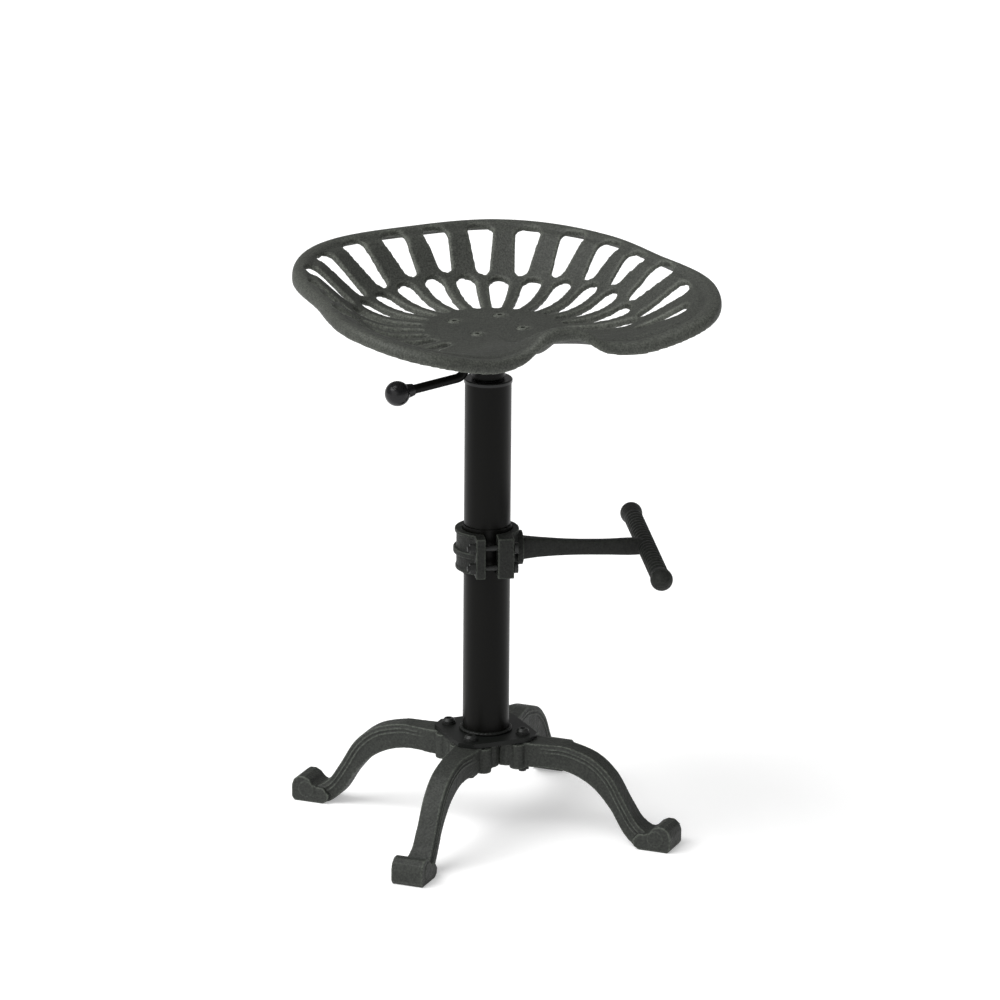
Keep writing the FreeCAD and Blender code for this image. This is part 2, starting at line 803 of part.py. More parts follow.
screw_angle = "45"
screws = new_body("seat_screws", "0", screw_angle)
screw_profile = new_sketch(screws, "XZ_Plane")
screw_reach = "seat_screw_place * sqrt(2)"
seat_under_head = "(seat_height - seat_screw_sink)"
add_outline(screw_profile, [
    (screw_reach, f"{tray_top} - tray_wall - 8"),
    (f"{screw_reach} + seat_screw_shank / 2", f"{tray_top} - tray_wall - 8"),
    (f"{screw_reach} + seat_screw_shank / 2", seat_under_head),
    (f"{screw_reach} + seat_screw_head / 2", seat_under_head),
    (f"{screw_reach} + seat_screw_head / 2", f"{seat_under_head} + 2"),
    (f"{screw_reach} + seat_screw_head / 2 - 2.5", f"{seat_under_head} + 4"),
    (screw_reach, f"{seat_under_head} + 4"),
])
add_axis(screw_profile, screw_reach)
screw_solid = spin(screws, "Revolution", screw_profile, "Axis0")
screw_keys = new_sketch(screws, "XY_Plane", f"{seat_under_head} + 4")
add_outline(screw_keys, hexagon(screw_reach, "0", "key_flats"))
screw_pocket = extrude(screws, "Pocket", screw_keys, "2.6")
four_around(screws, [screw_solid, screw_pocket])
nuts("seat_nuts", screw_reach, "seat_screw_shank / 2", "large_nut", "large_nut_high",
     f"{tray_top} - tray_wall - large_nut_high", screw_angle)

# Footrest: sleeve on the column, clamp of two halves, arm and ribbed bar
sleeve_outer = "(column_outer / 2 + running_gap + sleeve_wall)"
clamp_bore = f"({sleeve_outer} + running_gap)"
clamp_low = "(footrest_height - clamp_height / 2)"
clamp_high = "(footrest_height + clamp_height / 2)"
ring("clamp_sleeve", "column_outer / 2 + running_gap", sleeve_outer, f"{clamp_low} - sleeve_over",
     f"{clamp_high} + sleeve_over")


def clamp_half(name, side, ear_wall):
    # side is "" for the half that carries the arm and "-" for the cap
    body = new_body(name, clamp_low, "footrest_turn")
    sketch = new_sketch(body, "XY_Plane")
    add_circle(sketch, "0", "0", "clamp_outer / 2")
    extrude(body, "Pad", sketch, "clamp_height")
    band = new_sketch(body, "XY_Plane", "clamp_height / 2 - clamp_rib / 2")
    add_circle(band, "0", "0", "clamp_outer / 2 + 2")
    extrude(body, "Pad", band, "clamp_rib")
    ears = new_sketch(body, "XY_Plane")
    face = f"{side}(clamp_gap / 2)"
    back = f"{side}(clamp_gap / 2 + {ear_wall})"
    add_outline(ears, [
        (face, "clamp_ear_reach"), (face, "-clamp_ear_reach"),
        (back, "-clamp_ear_reach"), (back, "clamp_ear_reach"),
    ])
    extrude(body, "Pad", ears, "clamp_height")
    bore = new_sketch(body, "XY_Plane")
    add_circle(bore, "0", "0", clamp_bore)
    extrude(body, "Pocket", bore, "clamp_height", reverse=True)
    away = new_sketch(body, "XY_Plane")
    far = "-clamp_outer" if side == "" else "clamp_outer"
    add_outline(away, [
        (face, "clamp_ear_reach + 5"), (face, "-clamp_ear_reach - 5"),
        (far, "-clamp_ear_reach - 5"), (far, "clamp_ear_reach + 5"),
    ])
    extrude(body, "Pocket", away, "clamp_height", reverse=True)
    bolt_holes = new_sketch(body, "YZ_Plane")
    add_clamp_circles(bolt_holes, "clamp_height / 2", "clamp_bolt / 2 + loose_gap")
    extrude(body, "Pocket", bolt_holes, "clamp_outer + 40", both_ways=True)
    return body


def add_clamp_circles(sketch, lift, radius):
    for across in ("clamp_bolt_reach", "-clamp_bolt_reach"):
        for sign in ("+", "-"):
            add_circle(sketch, across, f"{lift} {sign} clamp_bolt_lift", radius)


arm_half = clamp_half("clamp_arm", "", "ear_wall")
clamp_half("clamp_cap", "-", "cap_ear_wall")

# arm and bar are cast with the arm half of the clamp
middle = "clamp_height / 2"
arm = new_sketch(arm_half, "XZ_Plane")
bar_lift = f"({middle} - bar_drop)"
arm_corners = [
    ("clamp_outer / 2 - 5", f"{middle} + arm_root_depth / 2"),
    ("clamp_outer / 2 + 22", f"{middle} + arm_root_depth / 2 - 4"),
    ("128", f"{bar_lift} + arm_waist_depth / 2"),
    ("bar_reach", f"{bar_lift} + bar_size / 2 - 0.5"),
    ("bar_reach", f"{bar_lift} - bar_size / 2 + 0.5"),
    ("128", f"{bar_lift} - arm_waist_depth / 2"),
    ("clamp_outer / 2 + 22", f"{middle} - arm_root_depth / 2 + 4"),
    ("clamp_outer / 2 - 5", f"{middle} - arm_root_depth / 2"),
]
add_outline(arm, arm_corners)
arm_pad = extrude(arm_half, "Pad", arm, "arm_width", both_ways=True)
bar = new_sketch(arm_half, "XZ_Plane")
add_circle(bar, "bar_reach", bar_lift, "bar_size / 2")
extrude(arm_half, "Pad", bar, "bar_length", both_ways=True)
for side in ("", "-"):
    ball = arm_half.newObject("PartDesign::AdditiveSphere", "bar_ball_end")
    ball.Radius = size("bar_ball / 2")
    bind(ball, "Radius", "bar_ball / 2")
    along = f"{side}bar_length / 2"
    ball.Placement = FreeCAD.Placement(
        Vector(size("bar_reach"), size(along), size(bar_lift)), FreeCAD.Rotation())
    bind(ball, ".Placement.Base.x", "bar_reach")
    bind(ball, ".Placement.Base.y", along)
    bind(ball, ".Placement.Base.z", bar_lift)
    doc.recompute()

# raised rings along the bar, one modelled and the rest repeated
rib = new_sketch(arm_half, "XY_Plane", bar_lift)
first_rib = "(bar_length / 2 - bar_ball / 2 - 4)"
add_outline(rib, [
    ("bar_reach + bar_size / 2 - 1", f"{first_rib} - bar_rib_wide / 2"),
    ("bar_reach + bar_size / 2 + bar_rib_high", f"{first_rib}"),
    ("bar_reach + bar_size / 2 - 1", f"{first_rib} + bar_rib_wide / 2"),
])
add_axis(rib, "bar_reach")
rib_ring = spin(arm_half, "Revolution", rib, "Axis0")
rib_row = arm_half.newObject("PartDesign::LinearPattern", "bar_ribs_row")
rib_row.Originals = [rib_ring]
rib_row.Direction = (origin_part(arm_half, "Y_Axis"), [""])
rib_row.Reversed = True
rib_row.Length = size(f"2 * {first_rib}")
bind(rib_row, "Length", f"2 * {first_rib}")
rib_row.Occurrences = int(size("bar_ribs"))
bind(rib_row, "Occurrences", "bar_ribs")
arm_half.Tip = rib_row
doc.recompute()

# clamp bolts with domed heads on the arm side and nuts on the cap side
clamp_bolts = new_body("clamp_bolts", "footrest_height", "footrest_turn")
cap_face = "(clamp_gap / 2 + cap_ear_wall)"
arm_face = "(clamp_gap / 2 + ear_wall)"
washer_wall = "clamp_washer_wall"
shanks = new_sketch(clamp_bolts, "YZ_Plane", f"-{cap_face} - 9")
add_clamp_circles(shanks, "0", "clamp_bolt / 2")
extrude(clamp_bolts, "Pad", shanks, f"{cap_face} + 9 + {arm_face}")
heads = new_sketch(clamp_bolts, "YZ_Plane", arm_face)
add_clamp_circles(heads, "0", "clamp_bolt")
extrude(clamp_bolts, "Pad", heads, "clamp_head_high")


def clamp_hardware(name, start, length, add_shapes):
    body = new_body(name, "footrest_height", "footrest_turn")
    sketch = new_sketch(body, "YZ_Plane", start)
    add_shapes(sketch)
    add_clamp_circles(sketch, "0", "clamp_bolt / 2")
    extrude(body, "Pad", sketch, length)
    return body


def add_clamp_nuts(sketch):
    for across in ("clamp_bolt_reach", "-clamp_bolt_reach"):
        for sign in ("", "-"):
            add_outline(sketch, hexagon(across, f"{sign}clamp_bolt_lift", "clamp_nut"))


clamp_hardware("clamp_washers", f"-{cap_face} - {washer_wall}", washer_wall,
               lambda sketch: add_clamp_circles(sketch, "0", "clamp_bolt"))
clamp_hardware("clamp_nuts", f"-{cap_face} - {washer_wall} - clamp_nut_high", "clamp_nut_high",
               add_clamp_nuts)

# Checks before anything is written
doc.recompute()
for item in doc.Objects:
    if "Invalid" in item.State or "Error" in item.State:
        sys.exit(f"{item.Label} failed: {item.State}")
os.makedirs("parts", exist_ok=True)
for piece in pieces:
    shape = piece.Shape
    if shape.isNull() or not shape.isValid():
        sys.exit(f"{piece.Label} has no valid shape")
    shape.exportStep(f"parts/{piece.Label}.step")
    print(piece.Label, len(shape.Solids), round(shape.Volume / 1000, 2), "cm3")
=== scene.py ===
import math

import bpy
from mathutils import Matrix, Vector


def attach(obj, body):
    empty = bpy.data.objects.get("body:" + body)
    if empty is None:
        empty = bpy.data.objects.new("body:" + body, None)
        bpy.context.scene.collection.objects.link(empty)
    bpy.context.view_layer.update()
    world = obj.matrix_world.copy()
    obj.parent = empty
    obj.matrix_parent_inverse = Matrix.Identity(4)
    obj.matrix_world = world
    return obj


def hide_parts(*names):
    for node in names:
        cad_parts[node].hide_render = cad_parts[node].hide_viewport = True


# Tractor seat stool: cast seat, legs and footrest on a black gas-lift column.
# Metres, +Z up, the front of the seat looks along -Y. The dictionaries of the pieces hold
# millimetres and degrees, and mm turns millimetres into metres.

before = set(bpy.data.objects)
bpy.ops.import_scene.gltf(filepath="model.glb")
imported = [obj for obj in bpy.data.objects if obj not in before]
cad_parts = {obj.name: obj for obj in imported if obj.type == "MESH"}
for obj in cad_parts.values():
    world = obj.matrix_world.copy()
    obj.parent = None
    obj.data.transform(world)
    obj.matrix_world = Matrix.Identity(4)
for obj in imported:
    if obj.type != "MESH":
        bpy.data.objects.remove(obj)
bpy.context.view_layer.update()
mm = 0.001


# Shader maths

class Wire:
    # wraps a socket, so that maths on it adds Math nodes

    def __init__(self, tree, socket):
        self.tree = tree
        self.socket = socket

    def maths(self, operation, first, second):
        node = self.tree.nodes.new("ShaderNodeMath")
        node.operation = operation
        for index, value in enumerate((first, second)):
            if isinstance(value, Wire):
                self.tree.links.new(value.socket, node.inputs[index])
            else:
                node.inputs[index].default_value = value
        return Wire(self.tree, node.outputs[0])

    def __add__(self, other):
        return self.maths("ADD", self, other)

    def __radd__(self, other):
        return self.maths("ADD", other, self)

    def __mul__(self, other):
        return self.maths("MULTIPLY", self, other)

    def __rmul__(self, other):
        return self.maths("MULTIPLY", other, self)


class Finish:
    # one material: its tree, its shader and the pattern space of the piece

    def __init__(self, name, roughness, metallic=0.0, specular=0.5):
        self.material = bpy.data.materials.new(name)
        self.material.use_nodes = True
        self.tree = self.material.node_tree
        self.shader = self.tree.nodes["Principled BSDF"]
        self.shader.inputs["Roughness"].default_value = roughness
        self.shader.inputs["Metallic"].default_value = metallic
        self.shader.inputs["Specular IOR Level"].default_value = specular
        self.space = self.add("ShaderNodeTexCoord", {}, {}, "Object")

    def add(self, kind, settings, values, output=0):
        # settings first, then values or links for the sockets
        node = self.tree.nodes.new(kind)
        for key, value in settings.items():
            if key == "stops":
                ramp = node.color_ramp
                for index, (place, grey) in enumerate(value):
                    element = ramp.elements[index] if index < 2 else ramp.elements.new(place)
                    element.position = place
                    element.color = (grey, grey, grey, 1)
            else:
                setattr(node, key, value)
        for key, value in values.items():
            socket = node.inputs[key]
            if isinstance(value, Wire):
                self.tree.links.new(value.socket, socket)
            else:
                socket.default_value = value
        return Wire(self.tree, node.outputs[output])

    def noise(self, size, detail, rough):
        # size is the width of one blotch in metres
        return self.add("ShaderNodeTexNoise", {}, {
            "Vector": self.space, "Scale": 1 / size, "Detail": detail, "Roughness": rough})

    def blend(self, factor, first, second):
        # from one plain colour to another
        return self.add("ShaderNodeMix", {"data_type": "RGBA"}, {
            "Factor": factor, 6: (*first, 1), 7: (*second, 1)}, 2)

    def multiply(self, first, second):
        return self.add("ShaderNodeMix", {"data_type": "RGBA", "blend_type": "MULTIPLY"}, {
            "Factor": 1.0, 6: first, 7: second}, 2)

    def ramp(self, factor, stops):
        # each stop is a place and a grey
        return self.add("ShaderNodeValToRGB", {"stops": stops}, {"Fac": factor})

    def feed(self, socket, wire):
        self.tree.links.new(wire.socket, self.shader.inputs[socket])

    def bump(self, height, depth):
        # depth is how deep the relief is, in metres
        self.feed("Normal", self.add("ShaderNodeBump", {}, {
            "Height": height, "Distance": depth, "Strength": 1.0}))


castMarks = {
    "lump": 4, "patch": 0.06,  # width of a lump in grains, of a dusty patch in metres
    "bends": [(0.44, 0.5), (0.49, 1), (0.506, 1)],  # painted shade darkens the hollows, flats stay as they are
    "edge": 0.54,  # bend at which the edges are palest, from worn paint and painted highlight
    "specks": [(0.36, 0.55), (0.66, 1.35)],  # dark and pale grains
    "smooth": 0.5, "spread": 0.22,  # roughness between the lumps, and what they add
    "sandRelief": 0.8, "relief": 0.4,  # sand against lumps, and the depth of both in grains
}
# patch and scratch are widths in metres, and dark is the share of the colour that a mark keeps
paintMarks = {"patch": 0.05, "dark": 0.8, "spread": 0.12}
steelMarks = {"scratch": 0.003, "dark": 0.85, "lower": 0.05, "spread": 0.12, "relief": 0.00002}


def castFinish(name, colour, dust, grain, wearAndHighlight, specular=0.4):
    # painted sand casting: fine grain, soft lumps, painted shade in the hollows, edges paler from
    # worn paint and painted highlight
    finish = Finish(name, 0.6, specular=specular)
    sand = finish.noise(grain, 2.0, 0.6)
    lumps = finish.noise(grain * castMarks["lump"], 2.0, 0.5)
    shade = finish.blend(finish.noise(castMarks["patch"], 3.0, 0.5), colour, dust)
    # pointiness paints shade into the hollows, and paler edges for worn paint and painted
    # highlight
    bend = finish.add("ShaderNodeNewGeometry", {}, {}, "Pointiness")
    paintedLightAndWear = finish.ramp(bend, castMarks["bends"] + [(castMarks["edge"], wearAndHighlight)])
    speck = finish.ramp(sand, castMarks["specks"])
    finish.feed("Base Color", finish.multiply(finish.multiply(shade, paintedLightAndWear), speck))
    finish.feed("Roughness", castMarks["smooth"] + castMarks["spread"] * lumps)
    finish.bump(castMarks["sandRelief"] * sand + lumps, grain * castMarks["relief"])
    return finish.material


def paintFinish(name, colour, roughness, orange=0.004, depth=0.00004, specular=0.3):
    # satin paint or powder coat, with a faint orange peel and dulled patches
    finish = Finish(name, roughness, specular=specular)
    peel = finish.noise(orange, 2.0, 0.5)
    patches = finish.noise(paintMarks["patch"], 3.0, 0.6)
    dark = tuple(part * paintMarks["dark"] for part in colour)
    spread = paintMarks["spread"]
    finish.feed("Base Color", finish.blend(patches, dark, colour))
    finish.feed("Roughness", (roughness - spread / 2) + spread * patches)
    finish.bump(peel, depth)
    return finish.material


def steelFinish(name, colour, roughness, metallic=1.0):
    # bare or blackened steel with fine scratches
    finish = Finish(name, roughness, metallic)
    scratch = finish.noise(steelMarks["scratch"], 4.0, 0.7)
    dark = tuple(part * steelMarks["dark"] for part in colour)
    finish.feed("Base Color", finish.blend(scratch, dark, colour))
    finish.feed("Roughness", (roughness - steelMarks["lower"]) + steelMarks["spread"] * scratch)
    finish.bump(scratch, steelMarks["relief"])
    return finish.material


# grain is the width of one grain in metres, and the edge factor is how much paler the edges are:
# worn paint and painted highlight
seatLook = {"colour": (0.0335, 0.0358, 0.0303), "dust": (0.052, 0.0556, 0.047),
            "grain": 0.0019, "wearAndHighlight": 2.4}
baseLook = {"colour": (0.018, 0.020, 0.0168), "dust": (0.030, 0.0335, 0.0278),
            "grain": 0.0024, "wearAndHighlight": 3.2}
footrestLook = {"colour": (0.006, 0.0068, 0.0056), "dust": (0.012, 0.0136, 0.011),
                "grain": 0.0024, "wearAndHighlight": 4.5, "specular": 0.3}
tubeLook = {"colour": (0.0036, 0.0036, 0.0030), "roughness": 0.36, "specular": 0.11}
plateLook = {"colour": (0.008, 0.009, 0.008), "roughness": 0.45, "orange": 0.003,
             "depth": 0.00008, "specular": 0.2}

finishes = {
    "seatCast": castFinish("seatCast", **seatLook),
    "baseCast": castFinish("baseCast", **baseLook),
    "footrestCast": castFinish("footrestCast", **footrestLook),
    "tubeBlack": paintFinish("tubeBlack", **tubeLook),
    "plateBlack": paintFinish("plateBlack", **plateLook),
    "boltBlack": steelFinish("boltBlack", (0.018, 0.019, 0.018), 0.45, 0.4),
    "bushBlack": paintFinish("bushBlack", (0.014, 0.0145, 0.015), 0.3, 0.006),
    "knobBlack": paintFinish("knobBlack", (0.010, 0.010, 0.011), 0.26, 0.008, 0.00003),
    "brightSteel": steelFinish("brightSteel", (0.55, 0.55, 0.56), 0.3),
    "rodChrome": steelFinish("rodChrome", (0.72, 0.72, 0.74), 0.08),
    "sealRubber": paintFinish("sealRubber", (0.015, 0.015, 0.015), 0.7, 0.002),
}
print("finishes made")

legNames = ["leg_rear_right", "leg_rear_left", "leg_front_left", "leg_front_right"]
nodeFinishes = {
    "seatCast": ["seat_pan", "seat_screws"],
    "baseCast": legNames,
    "footrestCast": ["clamp_arm", "clamp_cap"],
    "tubeBlack": ["column_tube", "column_weld", "column_bottom_disc", "clamp_sleeve",
                  "hub_socket", "gas_cylinder", "lever_rod", "lever_tray"],
    "plateBlack": ["base_plate"],
    "boltBlack": ["base_bolts", "base_washers", "base_nuts", "seat_nuts",
                  "clamp_bolts", "clamp_washers", "clamp_nuts"],
    "bushBlack": ["guide_bush"],
    "knobBlack": ["lever_knob"],
    "brightSteel": ["thrust_bearing", "rod_clip", "gas_piston", "lever_pin", "valve_pin"],
    "rodChrome": ["gas_rod"],
    "sealRubber": ["cylinder_seal"],
}
for finishName, nodeNames in nodeFinishes.items():
    for nodeName in nodeNames:
        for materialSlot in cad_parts[nodeName].material_slots:
            materialSlot.material = finishes[finishName]


# Camera at the photograph's place, in metres, degrees and the lens's millimetres

camera = {"place": (-3.468, -6.836, 2.767), "turn": -27.0, "down": 17.4, "roll": 0.45,
          "lens": 270.8, "sensor": 36.0, "far": 60}
bpy.ops.object.camera_add(location=camera["place"])
viewer = bpy.context.object
viewer.name = "viewer"
viewer.data.lens = camera["lens"]
viewer.data.sensor_width = camera["sensor"]
viewer.rotation_mode = "XYZ"
viewer.rotation_euler = (math.radians(90 - camera["down"]), 0, math.radians(camera["turn"]))
viewer.rotation_euler.rotate_axis("Z", math.radians(camera["roll"]))
viewer.data.clip_end = camera["far"]
bpy.context.scene.camera = viewer


# Floor, world and lamps

studio = {"wide": 60, "floor": 0.86, "floorLift": 0.36, "worldFill": 0.32}
suns = [{"power": 2.3, "tilt": 34, "turn": -96, "soft": 46},
        {"power": 0.75, "tilt": 64, "turn": -58, "soft": 60}]
bpy.ops.mesh.primitive_plane_add(size=studio["wide"], location=(0, 0, 0))
floor = bpy.context.object
floor.name = "floor"
# the camera and glossy rays see the floor brighter than the lamps make it
floorFinish = Finish("floorPale", 0.9, specular=0.0)
floorFinish.shader.inputs["Base Color"].default_value = (*[studio["floor"]] * 3, 1)
cameraRay = floorFinish.add("ShaderNodeLightPath", {}, {}, "Is Camera Ray")
glossRay = floorFinish.add("ShaderNodeLightPath", {}, {}, "Is Glossy Ray")
lift = floorFinish.add("ShaderNodeEmission", {}, {
    "Color": (1, 1, 1, 1), "Strength": (cameraRay + glossRay) * studio["floorLift"]})
both = floorFinish.add("ShaderNodeAddShader", {}, {
    0: Wire(floorFinish.tree, floorFinish.shader.outputs[0]), 1: lift})
output = floorFinish.tree.nodes["Material Output"]
floorFinish.tree.links.new(both.socket, output.inputs["Surface"])
floor.data.materials.append(floorFinish.material)

# the camera sees a white room, and less of that white lights the stool
world = bpy.data.worlds.new("paleRoom")
bpy.context.scene.world = world
world.use_nodes = True
worldTree = world.node_tree
backdrop = worldTree.nodes["Background"]
backdrop.inputs["Color"].default_value = (1, 1, 1, 1)
path = worldTree.nodes.new("ShaderNodeLightPath")
seen = Wire(worldTree, path.outputs["Is Camera Ray"])
level = studio["worldFill"] + (1 - studio["worldFill"]) * seen
worldTree.links.new(level.socket, backdrop.inputs["Strength"])

for sunlight in suns:
    bpy.ops.object.light_add(type="SUN", location=(0, 0, 4))
    sun = bpy.context.object
    sun.data.energy = sunlight["power"]
    sun.data.angle = math.radians(sunlight["soft"])
    sun.rotation_euler = (math.radians(sunlight["tilt"]), 0, math.radians(sunlight["turn"]))
bpy.context.scene.view_settings.view_transform = "Standard"
print("camera and studio set")


# Building blocks

def select(piece):
    bpy.ops.object.select_all(action="DESELECT")
    piece.select_set(True)
    bpy.context.view_layer.objects.active = piece


def applyModifier(piece, kind, settings):
    select(piece)
    bpy.ops.object.modifier_add(type=kind)
    modifier = piece.modifiers[-1]
    for key, value in settings.items():
        setattr(modifier, key, value)
    bpy.ops.object.modifier_apply(modifier=modifier.name)


def joinPieces(pieces, name):
    bpy.ops.object.select_all(action="DESELECT")
    for piece in pieces:
        piece.select_set(True)
    bpy.context.view_layer.objects.active = pieces[0]
    bpy.ops.object.join()
    joined = bpy.context.object
    joined.name = name
    return joined


def settle(piece):
    # its place goes into its mesh, and its faces point outwards
    select(piece)
    bpy.ops.object.transform_apply(location=True, rotation=True, scale=True)
    bpy.ops.object.mode_set(mode="EDIT")
    bpy.ops.mesh.select_all(action="SELECT")
    bpy.ops.mesh.remove_doubles(threshold=0.00001)
    bpy.ops.mesh.normals_make_consistent(inside=False)
    bpy.ops.object.mode_set(mode="OBJECT")


def gridPiece(name, columns, rows, place):
    # grid whose vertices go where place says, for shares from 0 to 1 across and along
    bpy.ops.object.select_all(action="DESELECT")
    bpy.ops.mesh.primitive_grid_add(x_subdivisions=columns, y_subdivisions=rows, size=1)
    piece = bpy.context.object
    piece.name = name
    for vertex in piece.data.vertices:
        vertex.co = place(vertex.co.x + 0.5, vertex.co.y + 0.5)
    settle(piece)
    return piece


def rodPiece(spot, radius, depth, sides=32, rotation=(0, 0, 0)):
    # cylinder about a spot in metres, sized in millimetres, upright unless it is turned
    bpy.ops.object.select_all(action="DESELECT")
    bpy.ops.mesh.primitive_cylinder_add(vertices=sides, radius=radius * mm, depth=depth * mm,
                                        location=spot, rotation=rotation)
    piece = bpy.context.object
    settle(piece)
    return piece


def extruded(name, points, low, high, standing=False):
    # outline in side view from low to high across, or in plan from low to high up
    bpy.ops.object.select_all(action="DESELECT")
    bpy.ops.mesh.primitive_circle_add(vertices=len(points), fill_type="NGON")
    piece = bpy.context.object
    piece.name = name
    for vertex, (first, second) in zip(piece.data.vertices, points):
        spot = (first, second, low) if standing else (first, low, second)
        vertex.co = Vector(spot) * mm
    bpy.ops.object.mode_set(mode="EDIT")
    bpy.ops.mesh.select_all(action="SELECT")
    step = (high - low) * mm
    shift = (0, 0, step) if standing else (0, step, 0)
    bpy.ops.mesh.extrude_region_move(TRANSFORM_OT_translate={"value": shift})
    bpy.ops.object.mode_set(mode="OBJECT")
    settle(piece)
    return piece


def turnRound(piece, degrees):
    # about the column; with no window transform.rotate turns the other way, hence the minus
    select(piece)
    bpy.ops.transform.rotate(value=math.radians(-degrees), orient_axis="Z",
                             center_override=(0, 0, 0))
    bpy.ops.object.transform_apply(location=True, rotation=True, scale=True)


def hermite(step, low, high, slopeLow, slopeHigh):
    # smooth value from low to high, with a slope at each end
    return ((2 * step ** 3 - 3 * step ** 2 + 1) * low
            + (step ** 3 - 2 * step ** 2 + step) * slopeLow
            + (-2 * step ** 3 + 3 * step ** 2) * high
            + (step ** 3 - step ** 2) * slopeHigh)


def curveAt(stops, share):
    # smooth curve through the stops, which are evenly spaced in share
    place = min(max(share, 0), 1) * (len(stops) - 1)
    index = min(int(place), len(stops) - 2)
    before = stops[max(index - 1, 0)]
    after = stops[min(index + 2, len(stops) - 1)]
    return [hermite(place - index, low, high, (high - start) / 2, (end - low) / 2)
            for start, low, high, end in zip(before, stops[index], stops[index + 1], after)]


def castSkin(piece, voxel, passes):
    # fused and softened as one casting
    applyModifier(piece, "REMESH", {"mode": "VOXEL", "voxel_size": voxel * mm,
                                    "adaptivity": 0.0})
    applyModifier(piece, "SMOOTH", {"factor": 0.5, "iterations": passes})
    select(piece)
    bpy.ops.object.shade_smooth()


def dress(piece, finishName, slotName, bodyName, *nodeNames):
    piece.data.materials.clear()
    piece.data.materials.append(finishes[finishName])
    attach(piece, bodyName)
    if nodeNames:
        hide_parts(*nodeNames)


# Seat: dish with a rolled rim, a pommel and two rows of slots

seatForm = {
    "height": 560, "forward": 12, "wall": 8, "roll": 8, "drop": 14, "lip": 3,
    "stations": [  # degrees from the back, reach and rise of the crest, climb, flat radius
        (0, 205, 60, 2.0, 60), (31, 218, 59, 2.0, 60), (61, 206, 57, 2.0, 60),
        (88, 197, 55, 2.0, 60), (116, 228.6, 49, 2.0, 60), (136, 233, 37, 1.9, 40),
        (152, 195, 20, 1.0, 29), (163, 168, 21, 1.0, 29), (172, 159, 37, 1.5, 38),
        (180, 155, 40, 2.0, 54)],
    "rimLine": {"inset": 12, "wide": 3.4, "deep": 2.6},  # the line pressed inside the rim
    "around": 360, "middleRows": 3, "dishRows": 52, "rollRows": 16,
    "voxel": 2.05, "soften": 7,
    # rows of slots: how many, degrees apart, start and end from the dish centre, half widths
    # at the root and the nose, and radius of the corners at the nose
    "inner": {"count": 17, "step": 14.5, "start": 76, "end": 150, "root": 4.5, "nose": 10.5,
              "corner": 10},
    "outer": {"count": 18, "step": 15.0, "start": 153, "end": 207, "root": 7, "nose": 13.5,
              "corner": 9, "margin": 6},
    "cutter": {"lift": 25, "tall": 90, "sides": 28},
    "screw": {"place": 27, "hole": 4.3, "drillTall": 30, "sink": 7.8, "sinkDepth": 3.5,
              "sinkTall": 20},
}
dishEnd = seatForm["dishRows"] + seatForm["middleRows"]
seatRows = 2 * dishEnd + seatForm["rollRows"]
rimTurns = seatForm["stations"] + [
    (360 - angle, *sizes) for angle, *sizes in seatForm["stations"][-2:0:-1]]


def crest(angle):
    # reach, rise, climb and flat radius, on a smooth curve through the stations
    angle = angle % 360
    count = len(rimTurns)
    index = max(i for i in range(count) if rimTurns[i][0] <= angle)
    spots = [(rimTurns[(index + k) % count], 360 * ((index + k) // count)) for k in (-1, 0, 1, 2)]
    turns = [spot[0] + wrap for spot, wrap in spots]
    span = turns[2] - turns[1]
    share = (angle - turns[1]) / span
    found = []
    for part in (1, 2, 3, 4):
        before, low, high, after = [spot[part] for spot, wrap in spots]
        slopeLow = (high - before) / (turns[2] - turns[0]) * span
        slopeHigh = (after - low) / (turns[3] - turns[1]) * span
        found.append(hermite(share, low, high, slopeLow, slopeHigh))
    return found


def fromBack(angle, distance, height):
    turn = math.radians(angle)
    return Vector((-distance * math.sin(turn), distance * math.cos(turn) - seatForm["forward"],
                   seatForm["height"] + height)) * mm


def dishSpot(angle, share, under=0):
    # share is 0 where the flat middle ends and 1 at the crest, and under goes below the top
    reach, rise, climb, flat = crest(angle)
    if share < 0:
        return fromBack(angle, flat * (1 + share), -under)
    height = rise * (1 - math.cos(math.pi * share ** climb)) / 2
    if under == 0:
        line = seatForm["rimLine"]
        away = (reach - flat) * (1 - share) - line["inset"]
        height -= line["deep"] * math.exp(-(away / line["wide"]) ** 2)
    return fromBack(angle, flat + (reach - flat) * share, height - under)


def dishShare(row):
    middle = seatForm["middleRows"]
    return row / middle - 1 if row <= middle else (row - middle) / seatForm["dishRows"]


def seatSpot(across, along):
    # along runs over the dish, round the roll and back under the dish
    angle = 360 * across
    row = along * seatRows
    if row <= dishEnd:
        return dishSpot(angle, dishShare(row))
    if row < dishEnd + seatForm["rollRows"]:
        reach, rise, climb, flat = crest(angle)
        share = (row - dishEnd) / seatForm["rollRows"]
        roll = seatForm["roll"]
        if share < 0.5:
            turn = math.pi * share
            return fromBack(angle, reach + roll * math.sin(turn),
                            rise - roll * (1 - math.cos(turn)))
        lip = seatForm["lip"]
        turn = math.pi * (2 * share - 1)
        return fromBack(angle, reach + roll - lip + lip * math.cos(turn),
                        rise - seatForm["drop"] + lip - lip * math.sin(turn))
    return dishSpot(angle, dishShare(seatRows - row), seatForm["wall"])


